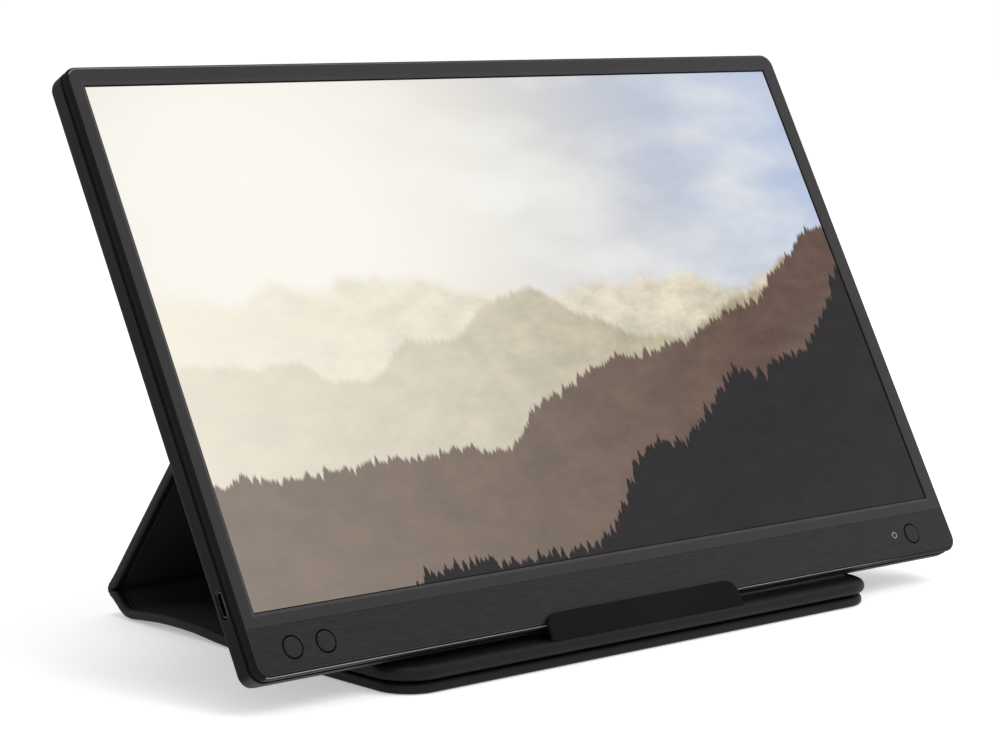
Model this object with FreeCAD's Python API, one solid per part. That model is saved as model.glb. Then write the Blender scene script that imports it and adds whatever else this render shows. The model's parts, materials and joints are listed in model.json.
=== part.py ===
import FreeCAD, Part
import math
import os

# Portable monitor standing on its folding cover, in millimetres, +Z up, screen facing -Y.
# The origin is on the table, under the middle of the whole object.
# The monitor is drawn upright (x right, y from the front face at -case_depth to the back at 0,
# z up from the lower edge) and is then leaned back onto the cover.
# A cover panel is drawn flat (y along the panel, z from its outer skin up to its lining).

# Screen and case
screen_width = 344.16
screen_height = 193.59
side_bezel = 7.27
top_bezel = 7.65
front_rim = 2.0
parting_groove = 2.4
groove_depth = 0.6
groove_gap = 0.1
case_corner = 5.4
case_wall = 1.6
rear_round = 3.0
lower_round = 5.0
front_round = 1.4

# Front frame
face_plate = 1.0
opening_margin = 0.5
bevel_width = 1.2
bevel_depth = 0.5
skirt_wall = 1.3
skirt_gap = 0.1
skirt_overlap = 0.7

# Chin trim and the strip of frame between it and the screen
trim_inset = 1.7
trim_height = 16.05
trim_thickness = 0.5
trim_gap = 0.1
strip_height = 5.55

# Buttons
button_radius = 3.9
button_gap = 0.35
button_drop = 0.3
menu_button_inset = 17.6
button_pitch = 14.15
power_button_inset = 24.25
button_proud = 0.4
button_travel = 0.5
flange_overlap = 0.9
flange_thickness = 0.8
flange_gap = 0.1
stem_radius = 1.5
stem_length = 1.9
stem_entry = 0.1
switch_size = 6.0
switch_height = 2.0
switch_well_gap = 0.4
switch_well_spare = 0.2

# Display panel, from the glass back
cell_thickness = 1.1
diffuser_thickness = 0.4
guide_thickness = 1.2
reflector_thickness = 0.2
panel_metal = 0.4
cell_side_margin = 2.6
cell_top_margin = 2.2
cell_bottom_margin = 3.4
led_bar_height = 2.4
driver_board_thickness = 0.7
driver_board_width = 180.0
driver_board_height = 14.0
driver_board_rise = 4.0
pad_size = 20.0
pad_side_inset = 64.0
pad_top_inset = 40.0
pad_board_gap = 33.0

# Boards, screws and cables
port_room = 1.0
board_thickness = 0.8
board_seat = 1.4
board_side_gap = 1.25
main_board_length = 80.0
main_board_height = 55.0
main_board_gap = 4.4
button_board_thickness = 1.0
button_board_height = 12.0
button_board_margin = 8.6
power_board_width = 20.0
screw_radius = 0.75
screw_head_radius = 1.4
screw_head_height = 0.8
screw_clearance = 0.12
screw_edge = 4.0
screw_low_edge = 2.4
boss_radius = 2.2
pilot_gap = 0.05
screw_floor = 0.6
plug_height = 1.0
plug_edge = 1.0
flex_plug_depth = 3.0
flex_thickness = 0.2
flex_width = 6.0
flex_offset = 4.4
flex_rise = 2.4
power_flex_inset = 24.0
power_flex_height = 4.6
panel_plug_size = 10.0
panel_plug_inset = 3.0
panel_plug_rise = 8.0
panel_cable_margin = 1.0
panel_cable_thickness = 0.3
panel_cable_run = 37.0
panel_cable_lap = 12.0
panel_cable_bend = 6.0

# Parts on the main board
scaler_size = 16.0
scaler_height = 1.3
scaler_inset = 14.0
scaler_rise = 20.0
power_chip_size = 8.0
power_chip_height = 1.1
power_chip_inset = 22.0
inductor_size = 7.0
inductor_height = 2.4
inductor_inset = 9.0
chip_top_inset = 8.0

# USB-C inlet on the left side
port_rise = 9.4
port_width = 8.94
port_thickness = 3.2
port_wall = 0.3
port_depth = 7.2
port_mouth_inset = 0.4
port_back_wall = 0.8
port_rim_gap = 0.35
port_end_gap = 0.73
tongue_width = 6.69
tongue_thickness = 0.7
tongue_inset = 0.9

# Folding sheet of the cover
cover_half_width = 122.0
sheet_thickness = 4.0
skin_thickness = 1.0
lining_thickness = 0.8
sheet_edge_round = 1.6
stiffener_inset = 4.0
stiffener_fold_gap = 2.5
fold_radius = 1.0
fold_clear = 0.12
fold_run = 0.05
tape_thickness = 0.3
tape_inset = 8.0
mount_length = 76.0
mount_top_margin = 12.65
mount_corner = 24.0
strut_angle = 53.15
spine_length = 14.0
spine_angle = 37.0
tilt = 29.3

# Base leaf and the tray on it
base_side_reach = 0.4
base_thickness = 3.7
base_corner = 14.5
bond_thickness = 0.9
bond_inset = 9.0
tray_thickness = 4.6
tray_side_reach = 1.6
tray_rear_gap = 55.0
tray_front_corner = 15.5
tray_rear_corner = 18.0
tray_overhang = 0.8
seat_gap = 0.3

# Stop lip in front of the monitor
lip_thickness = 1.8
lip_gap = 0.3
lip_rise = 4.3
lip_shift = 2.0
lip_top_half = 47.6
lip_foot_half = 49.6
lip_corner = 5.0
lip_setback = 1.7
lip_core_thickness = 0.8
lip_core_inset = 3.0

# Case sizes that follow
chin_height = trim_inset + trim_height + strip_height
case_width = screen_width + 2 * side_bezel
case_height = chin_height + screen_height + top_bezel
case_half = case_width / 2
panel_depth = cell_thickness + diffuser_thickness + guide_thickness + reflector_thickness + panel_metal
board_depth = port_thickness + board_thickness + board_seat
case_depth = face_plate + panel_depth + port_room + board_depth + case_wall
rear_depth = case_depth - front_rim - parting_groove
rim_back = front_rim - case_depth
plate_back = face_plate - case_depth
wall_inside = -case_wall
skirt_inset = case_wall + skirt_gap
skirt_end = skirt_overlap - rear_depth
groove_back = -rear_depth - groove_gap

# Places on the chin
menu_button_x = menu_button_inset - case_half
source_button_x = menu_button_x + button_pitch
power_button_x = case_half - power_button_inset
button_height = trim_inset + trim_height / 2 - button_drop
button_places = (menu_button_x, source_button_x, power_button_x)

# Depths and heights of the display panel
cell_front = plate_back
diffuser_front = cell_front + cell_thickness
guide_front = diffuser_front + diffuser_thickness
reflector_front = guide_front + guide_thickness
reflector_back = reflector_front + reflector_thickness
panel_back = reflector_back + panel_metal
driver_board_back = panel_back + driver_board_thickness
cell_half = screen_width / 2 + cell_side_margin
cell_bottom = chin_height - cell_bottom_margin
cell_top = chin_height + screen_height + cell_top_margin
led_bottom = cell_bottom - led_bar_height

# Depths and places of the buttons' boards
flange_front = plate_back + flange_gap
flange_back = flange_front + flange_thickness
stem_end = flange_back + stem_length
switch_top = stem_end - stem_entry
button_board_front = switch_top + switch_height
button_board_back = button_board_front + button_board_thickness
button_board_bottom = button_height - button_board_height / 2
button_board_top = button_height + button_board_height / 2
left_board = (menu_button_x - button_board_margin, source_button_x + button_board_margin)
right_board = (power_button_x - power_board_width / 2, power_button_x + power_board_width / 2)

# Place of the main board and of what plugs into it
main_board_back = wall_inside - board_seat
main_board_front = main_board_back - board_thickness
main_board_left = case_wall + board_side_gap - case_half
main_board_right = main_board_left + main_board_length
main_board_bottom = button_board_top + main_board_gap
main_board_top = main_board_bottom + main_board_height
plug_front = main_board_front - plug_height
left_flex_x = source_button_x - flex_offset
power_flex_x = main_board_right - power_flex_inset
panel_plug_x = main_board_right - panel_plug_inset - panel_plug_size
panel_plug_z = main_board_bottom + panel_plug_rise
driver_board_left = main_board_right + panel_cable_run
driver_board_bottom = cell_bottom + driver_board_rise
port_y = main_board_front - port_thickness / 2
port_z = main_board_bottom + port_rise
port_left = port_mouth_inset - case_half

# Screws of the boards
main_screws = [
    (x, z)
    for x in (main_board_left + screw_edge, main_board_right - screw_edge)
    for z in (main_board_bottom + screw_low_edge, main_board_top - screw_edge)
]
button_screw_z = button_board_top - screw_low_edge
left_screws = [((menu_button_x + source_button_x) / 2, button_screw_z)]
right_screws = [(x, button_screw_z) for x in (right_board[0] + screw_edge, right_board[1] - screw_edge)]
button_screws = left_screws + right_screws

# The monitor rests on the tray, and the strut reaches from its hinge down to the spine
lean = math.radians(tilt)
tray_bottom = base_thickness + bond_thickness
tray_top = tray_bottom + tray_thickness
lower_edge_z = tray_top + seat_gap - lower_round * (math.cos(lean) + math.sin(lean) - 1)


def leaned(y, z):
    """Place of a point of the upright monitor, before the origin is centred."""
    return (y * math.cos(lean) + z * math.sin(lean), z * math.cos(lean) - y * math.sin(lean) + lower_edge_z)


hinge_height = case_height - mount_top_margin - mount_length
top_axis = leaned(sheet_thickness + tape_thickness - fold_radius, hinge_height)
rear_axis_z = fold_radius + spine_length * math.sin(math.radians(spine_angle))
strut_length = (top_axis[1] - rear_axis_z) / math.sin(math.radians(strut_angle))
rear_axis = (top_axis[0] + strut_length * math.cos(math.radians(strut_angle)), rear_axis_z)
base_axis = (rear_axis[0] - spine_length * math.cos(math.radians(spine_angle)), fold_radius)
strut_turn = 180 - strut_angle - spine_angle
monitor_turn = strut_angle - tilt - 90

# The lip stands parallel to the screen, and the tray and the leaf end just in front of its foot
lip_front = -case_depth - lip_gap - lip_thickness
lip_drop = (leaned(lip_front, 0)[1] - tray_top) / math.cos(lean)
lip_foot_y = leaned(lip_front, -lip_drop)[0]
tray_front = lip_foot_y - lip_setback
tray_back = base_axis[0] - tray_rear_gap
base_front = tray_front + tray_overhang
base_half_width = cover_half_width + base_side_reach
tray_half_width = cover_half_width + tray_side_reach
origin_y = (tray_front + rear_axis[0] + fold_radius) / 2

V = FreeCAD.Vector
X_AXIS = V(1, 0, 0)
Y_AXIS = V(0, 1, 0)
REACH = 4 * case_width
TOUCH = 1e-6


# Shapes

def block(x0, x1, y0, y1, z0, z1):
    return Part.makeBox(x1 - x0, y1 - y0, z1 - z0, V(x0, y0, z0))


def square(x, z, size, y0, y1):
    """Block with a square front whose lower left corner is at x, z."""
    return block(x, x + size, y0, y1, z, z + size)


def rounded_outline(u0, u1, v0, v1, radii, point):
    """Rectangle whose corners, from low u and low v anticlockwise, have their own radii."""
    corners = ((u0, v0, 1, 1), (u1, v0, -1, 1), (u1, v1, -1, -1), (u0, v1, 1, -1))
    start_angles = (180, 270, 0, 90)
    edges = []
    ends = []
    for (u, v, du, dv), radius, start in zip(corners, radii, start_angles):
        if radius <= 0:
            ends.append((point(u, v), point(u, v)))
            continue
        arc = []
        for turn in (0, 45, 90):
            angle = math.radians(start + turn)
            across = u + du * radius + radius * math.cos(angle)
            along = v + dv * radius + radius * math.sin(angle)
            arc.append(point(across, along))
        edges.append(Part.Arc(*arc).toShape())
        ends.append((arc[0], arc[2]))
    for index, (_, leaving) in enumerate(ends):
        arriving = ends[(index + 1) % len(ends)][0]
        if leaving.distanceToPoint(arriving) > TOUCH:
            edges.append(Part.makeLine(leaving, arriving))
    return Part.Wire(Part.__sortEdges__(edges))


def upright_plate(x0, x1, z0, z1, radii, y0, y1):
    """Plate that faces along y, with its own radius at each corner."""
    wire = rounded_outline(x0, x1, z0, z1, radii, lambda x, z: V(x, y0, z))
    return Part.Face(wire).extrude(V(0, y1 - y0, 0))


def flat_plate(half_width, y0, y1, near_radius, far_radius, z0, z1):
    """Plate that lies flat, with one corner radius at its near end and one at its far end."""
    radii = (near_radius, near_radius, far_radius, far_radius)
    wire = rounded_outline(-half_width, half_width, y0, y1, radii, lambda x, y: V(x, y, z0))
    return Part.Face(wire).extrude(V(0, 0, z1 - z0))


def case_plate(inset, y0, y1):
    """The case's outline, drawn in by inset, between two depths."""
    half = case_half - inset
    radius = max(case_corner - inset, 0)
    return upright_plate(-half, half, inset, case_height - inset, (radius,) * 4, y0, y1)


def rod(radius, x, z, y0, y1):
    """Cylinder along y."""
    return Part.makeCylinder(radius, y1 - y0, V(x, y0, z), Y_AXIS)


def port_bar(x0, x1, length, height):
    """Round-ended bar along x at the place of the USB-C inlet."""
    wire = rounded_outline(
        port_y - height / 2, port_y + height / 2, port_z - length / 2, port_z + length / 2,
        (height / 2,) * 4, lambda y, z: V(x0, y, z))
    return Part.Face(wire).extrude(V(x1 - x0, 0, 0))


def port_hole(depth):
    """Room for the inlet in the case's left side, down to the given depth."""
    length = port_width + 2 * port_end_gap
    return port_bar(-case_half, depth - case_half, length, port_thickness + 2 * port_rim_gap)


def ribbon(points, thickness, sweep):
    """Flat cable: a bent line of the given thickness, swept sideways."""
    normals = [(second - first).cross(sweep).normalize() for first, second in zip(points, points[1:])]
    sides = []
    for offset in (thickness / 2, -thickness / 2):
        side = [points[0] + normals[0] * offset]
        for point, before, after in zip(points[1:], normals, normals[1:]):
            bisector = (before + after).normalize()
            side.append(point + bisector * (offset / bisector.dot(after)))
        side.append(points[-1] + normals[-1] * offset)
        sides.append(side)
    loop = sides[0] + sides[1][::-1]
    return Part.Face(Part.makePolygon(loop + loop[:1])).extrude(sweep)


def edges_at(shape, axis, value):
    """Edges that lie whole in one plane across the named axis."""
    return [edge for edge in shape.Edges
            if all(abs(getattr(vertex, axis) - value) < TOUCH for vertex in edge.Vertexes)]


# Monitor case

def keel(inset):
    """Block as large as the case, drawn in by inset, with the case's rounded lower back edge."""
    radii = (0, lower_round - inset, 0, 0)
    wire = rounded_outline(-case_depth, -inset, inset, case_height, radii, lambda y, z: V(-case_half, y, z))
    return Part.Face(wire).extrude(V(case_width, 0, 0))


def rear_cover_shape():
    shell = case_plate(0, -rear_depth, 0)
    shell = shell.makeFillet(rear_round, edges_at(shell, "Y", 0)).common(keel(0))
    shell = shell.cut(case_plate(case_wall, -rear_depth, wall_inside).common(keel(case_wall)))
    seats = [(x, z, main_board_back) for x, z in main_screws]
    seats += [(x, z, button_board_back) for x, z in button_screws]
    for x, z, seat in seats:
        shell = shell.fuse(rod(boss_radius, x, z, seat, wall_inside))
        shell = shell.cut(rod(screw_radius + pilot_gap, x, z, seat, -screw_floor))
    return shell.cut(port_hole(case_wall)).removeSplitter()


def front_frame_shape():
    frame = case_plate(0, -case_depth, rim_back)
    frame = frame.makeFillet(front_round, edges_at(frame, "Y", -case_depth))
    frame = frame.fuse(case_plate(groove_depth, rim_back, groove_back))
    frame = frame.fuse(case_plate(skirt_inset, rim_back, skirt_end))
    frame = frame.cut(case_plate(skirt_inset + skirt_wall, plate_back, skirt_end))
    frame = frame.cut(screen_opening()).cut(trim_plate(0)).cut(port_hole(skirt_inset + skirt_wall))
    return with_button_holes(frame, plate_back).removeSplitter()


def screen_opening():
    """Opening in the face plate, with a slanted edge at the front."""
    half = screen_width / 2 + opening_margin
    low = chin_height - opening_margin
    high = chin_height + screen_height + opening_margin
    wires = []
    for grow, y in ((bevel_width, -case_depth), (0, bevel_depth - case_depth)):
        wires.append(rounded_outline(
            -half - grow, half + grow, low - grow, high + grow, (0,) * 4, lambda x, z, y=y: V(x, y, z)))
    return Part.makeLoft(wires, True, True).fuse(block(-half, half, -case_depth, plate_back, low, high))


def trim_plate(gap):
    """Chin trim, smaller than its recess by gap on each side."""
    half = case_half - trim_inset - gap
    low_radius = case_corner - trim_inset
    return upright_plate(
        -half, half, trim_inset + gap, trim_inset + trim_height - gap,
        (low_radius, low_radius, 0, 0), -case_depth, trim_thickness - case_depth)


def with_button_holes(plate, back):
    for x in button_places:
        plate = plate.cut(rod(button_radius + button_gap, x, button_height, -case_depth, back))
    return plate


def chin_trim_shape():
    return with_button_holes(trim_plate(trim_gap), trim_thickness - case_depth)


# Buttons and their switches

def button_shape(x):
    cap = rod(button_radius, x, button_height, -case_depth - button_proud, flange_front)
    flange = rod(button_radius + button_gap + flange_overlap, x, button_height, flange_front, flange_back)
    stem = rod(stem_radius, x, button_height, flange_back, stem_end)
    return cap.fuse(flange).fuse(stem).removeSplitter()


def switch_shape(x):
    corner = switch_size / 2
    body = square(x - corner, button_height - corner, switch_size, switch_top, button_board_front)
    well_floor = stem_end + button_travel + switch_well_spare
    return body.cut(rod(stem_radius + switch_well_gap, x, button_height, switch_top, well_floor))


# Display panel

def panel_layer(front, back, bottom):
    return block(-cell_half, cell_half, front, back, bottom, cell_top)


def led_bar_shape():
    return block(-cell_half, cell_half, guide_front, reflector_front, led_bottom, cell_bottom)


def panel_tray_shape():
    outer = block(
        -cell_half - panel_metal, cell_half + panel_metal, diffuser_front, panel_back,
        led_bottom - panel_metal, cell_top + panel_metal)
    return outer.cut(panel_layer(diffuser_front, reflector_back, led_bottom))


def driver_board_shape():
    return block(
        driver_board_left, driver_board_left + driver_board_width, panel_back, driver_board_back,
        driver_board_bottom, driver_board_bottom + driver_board_height)


def panel_pad_shapes():
    """Foam pads between the panel and the back of the case."""
    side = cell_half - pad_side_inset
    rows = (cell_top - pad_top_inset, main_board_top + pad_board_gap)
    centres = [(x, z) for x in (-side, 0, side) for z in rows]
    return [square(x - pad_size / 2, z - pad_size / 2, pad_size, panel_back, wall_inside) for x, z in centres]


# Boards and what sits on them

def drilled(board, screws, front, back):
    for x, z in screws:
        board = board.cut(rod(screw_radius + screw_clearance, x, z, front, back))
    return board


def main_board_shape():
    board = block(
        main_board_left, main_board_right, main_board_front, main_board_back,
        main_board_bottom, main_board_top)
    return drilled(board, main_screws, main_board_front, main_board_back)


def button_board_shape(ends, screws):
    board = block(*ends, button_board_front, button_board_back, button_board_bottom, button_board_top)
    return drilled(board, screws, button_board_front, button_board_back)


def screw_shapes():
    screws = []
    for places, seat in ((main_screws, main_board_front), (button_screws, button_board_front)):
        for x, z in places:
            head = rod(screw_head_radius, x, z, seat - screw_head_height, seat)
            screws.append(head.fuse(rod(screw_radius, x, z, seat, -screw_floor)).removeSplitter())
    return screws


def scaler_shape():
    x = main_board_left + scaler_inset
    z = main_board_bottom + scaler_rise
    return square(x, z, scaler_size, main_board_front - scaler_height, main_board_front)


def power_chip_shape():
    x = main_board_right - power_chip_inset - power_chip_size
    z = main_board_top - chip_top_inset - power_chip_size
    return square(x, z, power_chip_size, main_board_front - power_chip_height, main_board_front)


def inductor_shapes():
    z = main_board_top - chip_top_inset - inductor_size
    edges = (main_board_left + inductor_inset, main_board_right - inductor_inset - inductor_size)
    return [square(x, z, inductor_size, main_board_front - inductor_height, main_board_front) for x in edges]


def plug_shapes():
    low = main_board_bottom + plug_edge
    plugs = [block(x, x + flex_width, plug_front, main_board_front, low, low + flex_plug_depth)
             for x in (left_flex_x, power_flex_x)]
    return plugs + [square(panel_plug_x, panel_plug_z, panel_plug_size, plug_front, main_board_front)]


# Flat cables

def flex_riser(x):
    """Flex from the back of the buttons' boards up onto its plug on the main board."""
    board_y = button_board_back + flex_thickness / 2
    plug_y = plug_front - flex_thickness / 2
    points = [
        V(x, board_y, button_board_bottom + flex_rise),
        V(x, board_y, button_board_top),
        V(x, plug_y, main_board_bottom),
        V(x, plug_y, main_board_bottom + plug_edge + flex_plug_depth),
    ]
    return ribbon(points, flex_thickness, V(flex_width, 0, 0))


def power_flex_shape():
    low = button_board_bottom + flex_rise
    run = block(
        power_flex_x, power_button_x, button_board_back, button_board_back + flex_thickness,
        low, low + power_flex_height)
    return run.fuse(flex_riser(power_flex_x)).removeSplitter()


def panel_cable_shape():
    board_y = driver_board_back + panel_cable_thickness / 2
    plug_y = plug_front - panel_cable_thickness / 2
    low = panel_plug_z + panel_cable_margin
    points = [
        V(driver_board_left + panel_cable_lap, board_y, low),
        V(driver_board_left - panel_cable_bend, board_y, low),
        V(main_board_right + panel_cable_bend, plug_y, low),
        V(panel_plug_x + panel_cable_margin, plug_y, low),
    ]
    return ribbon(points, panel_cable_thickness, V(0, 0, panel_plug_size - 2 * panel_cable_margin))


# USB-C inlet

def port_shell_shape():
    outer = port_bar(port_left, port_left + port_depth, port_width, port_thickness)
    inner = port_bar(
        port_left, port_left + port_depth - port_back_wall,
        port_width - 2 * port_wall, port_thickness - 2 * port_wall)
    return outer.cut(inner)


def port_tongue_shape():
    return block(
        port_left + tongue_inset, port_left + port_depth - port_back_wall,
        port_y - tongue_thickness / 2, port_y + tongue_thickness / 2,
        port_z - tongue_width / 2, port_z + tongue_width / 2)


# Cover panels

def end_setbacks(turn, thickness):
    """How far a panel's outer and inner edges stop short of a fold's axis, or of a free end."""
    if turn is None:
        return 0, 0
    slope = math.tan(math.radians(abs(turn)) / 2)
    if turn > 0:
        return fold_clear, fold_clear + (thickness - fold_radius) * slope
    return fold_clear + fold_radius * slope, fold_clear


def panel_shape(y0, y1, half_width, thickness, turns, corners):
    """Flat panel from y0 to y1. An end with a turn meets a fold, an end without one is free."""
    near_outer, near_inner = end_setbacks(turns[0], thickness)
    far_outer, far_inner = end_setbacks(turns[1], thickness)
    section = [(y0 + near_outer, 0), (y1 - far_outer, 0)]
    if turns[1] is not None:
        section.append((y1 - fold_clear, fold_radius))
    section += [(y1 - far_inner, thickness), (y0 + near_inner, thickness)]
    if turns[0] is not None:
        section.append((y0 + fold_clear, fold_radius))
    loop = [V(-half_width, y, z) for y, z in section]
    panel = Part.Face(Part.makePolygon(loop + loop[:1])).extrude(V(2 * half_width, 0, 0))
    if any(corners):
        panel = panel.common(flat_plate(half_width, y0, y1, *corners, 0, thickness)).removeSplitter()
    fold_ends = [y for y, turn in zip((y0, y1), turns) if turn is not None]
    panel = soften_edges(panel, thickness, half_width, fold_ends)
    for y in fold_ends:
        panel = panel.cut(fold_rod(y, fold_radius + fold_run, half_width))
    return panel


def soften_edges(panel, thickness, half_width, fold_ends):
    """Round the free edges of both faces, leaving the ends that meet a fold."""
    radius = min(sheet_edge_round, 0.45 * thickness)
    chosen = []
    for edge in edges_at(panel, "Z", 0) + edges_at(panel, "Z", thickness):
        spans_width = edge.BoundBox.XLength > 2 * half_width - TOUCH
        near_fold = any(abs(edge.CenterOfMass.y - y) < 2 * thickness for y in fold_ends)
        if not (spans_width and near_fold):
            chosen.append(edge)
    return panel.makeFillet(radius, chosen)


def fold_rod(y, radius, half_width):
    return Part.makeCylinder(radius, 2 * half_width, V(-half_width, y, fold_radius), X_AXIS)


def panel_layers(y0, y1, half_width, thickness, turns, corners):
    """Outer skin with a pocket, the stiffener in the pocket, and the lining over both."""
    panel = panel_shape(y0, y1, half_width, thickness, turns, corners)
    split = thickness - lining_thickness
    gaps = []
    for turn in turns:
        fold_gap = max(end_setbacks(turn, thickness)) + stiffener_fold_gap
        gaps.append(stiffener_inset if turn is None else fold_gap)
    inner_corners = [max(radius - stiffener_inset, 0) for radius in corners]
    stiffener = flat_plate(
        half_width - stiffener_inset, y0 + gaps[0], y1 - gaps[1], *inner_corners, skin_thickness, split)
    outer_side = block(-REACH, REACH, -REACH, REACH, 0, split)
    inner_side = block(-REACH, REACH, -REACH, REACH, split, thickness)
    return {
        "skin": panel.common(outer_side).cut(stiffener),
        "board": stiffener,
        "lining": panel.common(inner_side),
    }


# Putting pieces in place

def moved(shape, place):
    copy = shape.copy()
    copy.Placement = place.multiply(copy.Placement)
    return copy


def stand(shape):
    """Lean an upright piece of the monitor back onto the cover."""
    return moved(shape, FreeCAD.Placement(V(0, -origin_y, lower_edge_z), FreeCAD.Rotation(X_AXIS, -tilt)))


def lay(shape, axis, angle):
    """Turn a flat cover panel about a fold axis, which it has at y = 0, and put it in place."""
    turn = FreeCAD.Placement(V(0, axis[0] - origin_y, axis[1]), FreeCAD.Rotation(X_AXIS, angle))
    return moved(shape, turn.multiply(FreeCAD.Placement(V(0, 0, -fold_radius), FreeCAD.Rotation())))


def lift(shape, height):
    """Put a piece that lies flat, drawn in the monitor's y, at a height over the table."""
    return moved(shape, FreeCAD.Placement(V(0, -origin_y, height), FreeCAD.Rotation()))


# Nodes

def monitor_nodes():
    shapes = {
        "front_frame": front_frame_shape(),
        "chin_trim": chin_trim_shape(),
        "rear_cover": rear_cover_shape(),
        "lcd_glass": panel_layer(cell_front, diffuser_front, cell_bottom),
        "diffuser_sheets": panel_layer(diffuser_front, guide_front, cell_bottom),
        "light_guide": panel_layer(guide_front, reflector_front, cell_bottom),
        "reflector_sheet": panel_layer(reflector_front, reflector_back, led_bottom),
        "led_bar": led_bar_shape(),
        "panel_tray": panel_tray_shape(),
        "panel_driver_board": driver_board_shape(),
        "panel_cable": panel_cable_shape(),
        "panel_pads": Part.makeCompound(panel_pad_shapes()),
        "main_board": main_board_shape(),
        "scaler_chip": scaler_shape(),
        "power_chip": power_chip_shape(),
        "power_inductors": Part.makeCompound(inductor_shapes()),
        "board_connectors": Part.makeCompound(plug_shapes()),
        "usb_c_shell": port_shell_shape(),
        "usb_c_tongue": port_tongue_shape(),
        "left_button_board": button_board_shape(left_board, left_screws),
        "power_button_board": button_board_shape(right_board, right_screws),
        "button_switches": Part.makeCompound([switch_shape(x) for x in button_places]),
        "left_button_flex": flex_riser(left_flex_x),
        "power_button_flex": power_flex_shape(),
        "board_screws": Part.makeCompound(screw_shapes()),
        "menu_button": button_shape(menu_button_x),
        "source_button": button_shape(source_button_x),
        "power_button": button_shape(power_button_x),
    }
    return {name: stand(shape) for name, shape in shapes.items()}


def sheet_nodes():
    """Mounting panel, strut, spine and base leaf of the folding sheet, and the rolls in its folds."""
    panels = (
        ("mount", 0, mount_length, cover_half_width, sheet_thickness,
         (monitor_turn, None), (0, mount_corner), top_axis, 90 - tilt),
        ("strut", 0, strut_length, cover_half_width, sheet_thickness,
         (strut_turn, monitor_turn), (0, 0), rear_axis, 180 - strut_angle),
        ("spine", 0, spine_length, cover_half_width, sheet_thickness,
         (spine_angle, strut_turn), (0, 0), base_axis, spine_angle),
        ("base", base_front - base_axis[0], 0, base_half_width, base_thickness,
         (None, spine_angle), (base_corner, 0), base_axis, 0),
    )
    nodes = {}
    for prefix, y0, y1, half_width, thickness, turns, corners, axis, angle in panels:
        for name, shape in panel_layers(y0, y1, half_width, thickness, turns, corners).items():
            nodes[prefix + "_" + name] = lay(shape, axis, angle)
    half_tape = cover_half_width - tape_inset
    tape = block(
        -half_tape, half_tape, tape_inset, mount_length - tape_inset,
        sheet_thickness, sheet_thickness + tape_thickness)
    nodes["mount_tape"] = lay(tape, top_axis, 90 - tilt)
    for name, axis in (("strut", top_axis), ("rear", rear_axis), ("base", base_axis)):
        nodes[name + "_fold_roll"] = lay(fold_rod(0, fold_radius, cover_half_width), axis, 0)
    return nodes


def tray_nodes():
    corners = (tray_front_corner, tray_rear_corner)
    layers = panel_layers(tray_front, tray_back, tray_half_width, tray_thickness, (None, None), corners)
    nodes = {"tray_" + name: lift(shape, tray_bottom) for name, shape in layers.items()}
    bond = flat_plate(
        base_half_width - bond_inset, base_front + bond_inset, tray_back - bond_inset,
        base_corner - bond_inset, tray_rear_corner - bond_inset, 0, bond_thickness)
    nodes["tray_bond"] = lift(bond, base_thickness)
    return nodes


def lip_slab(inset, front, back, top):
    """Slab parallel to the screen, wider at its foot, drawn in by inset at its ends."""
    foot = -lip_drop - lip_thickness
    slope = (lip_foot_half - lip_top_half) / (lip_rise + lip_drop)
    foot_half, top_half = [lip_foot_half - inset - slope * (z + lip_drop) for z in (foot, top)]
    corners = ((-foot_half, foot), (foot_half, foot), (top_half, top), (-top_half, top))
    loop = [V(x - lip_shift, front, z) for x, z in corners]
    return Part.Face(Part.makePolygon(loop + loop[:1])).extrude(V(0, back - front, 0))


def lip_nodes():
    back = lip_front + lip_thickness
    outer = lip_slab(0, lip_front, back, lip_rise)
    top_corners = [edge for edge in edges_at(outer, "Z", lip_rise) if edge.BoundBox.XLength < TOUCH]
    outer = outer.makeFillet(lip_corner, top_corners)
    core_side = (lip_thickness - lip_core_thickness) / 2
    core = lip_slab(lip_core_inset, lip_front + core_side, back - core_side, lip_rise - lip_core_inset)
    below_tray = block(-REACH, REACH, -REACH, REACH, -REACH, tray_top)
    return {
        "lip_skin": stand(outer.cut(core)).cut(below_tray),
        "lip_core": stand(core).cut(below_tray),
    }


def all_nodes():
    return {**monitor_nodes(), **sheet_nodes(), **tray_nodes(), **lip_nodes()}


os.makedirs("parts", exist_ok=True)
for node_name, node_shape in all_nodes().items():
    node_shape.exportStep("parts/" + node_name + ".step")
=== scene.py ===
import json
import math

import bmesh
import bpy
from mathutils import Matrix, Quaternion, Vector, noise


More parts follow.
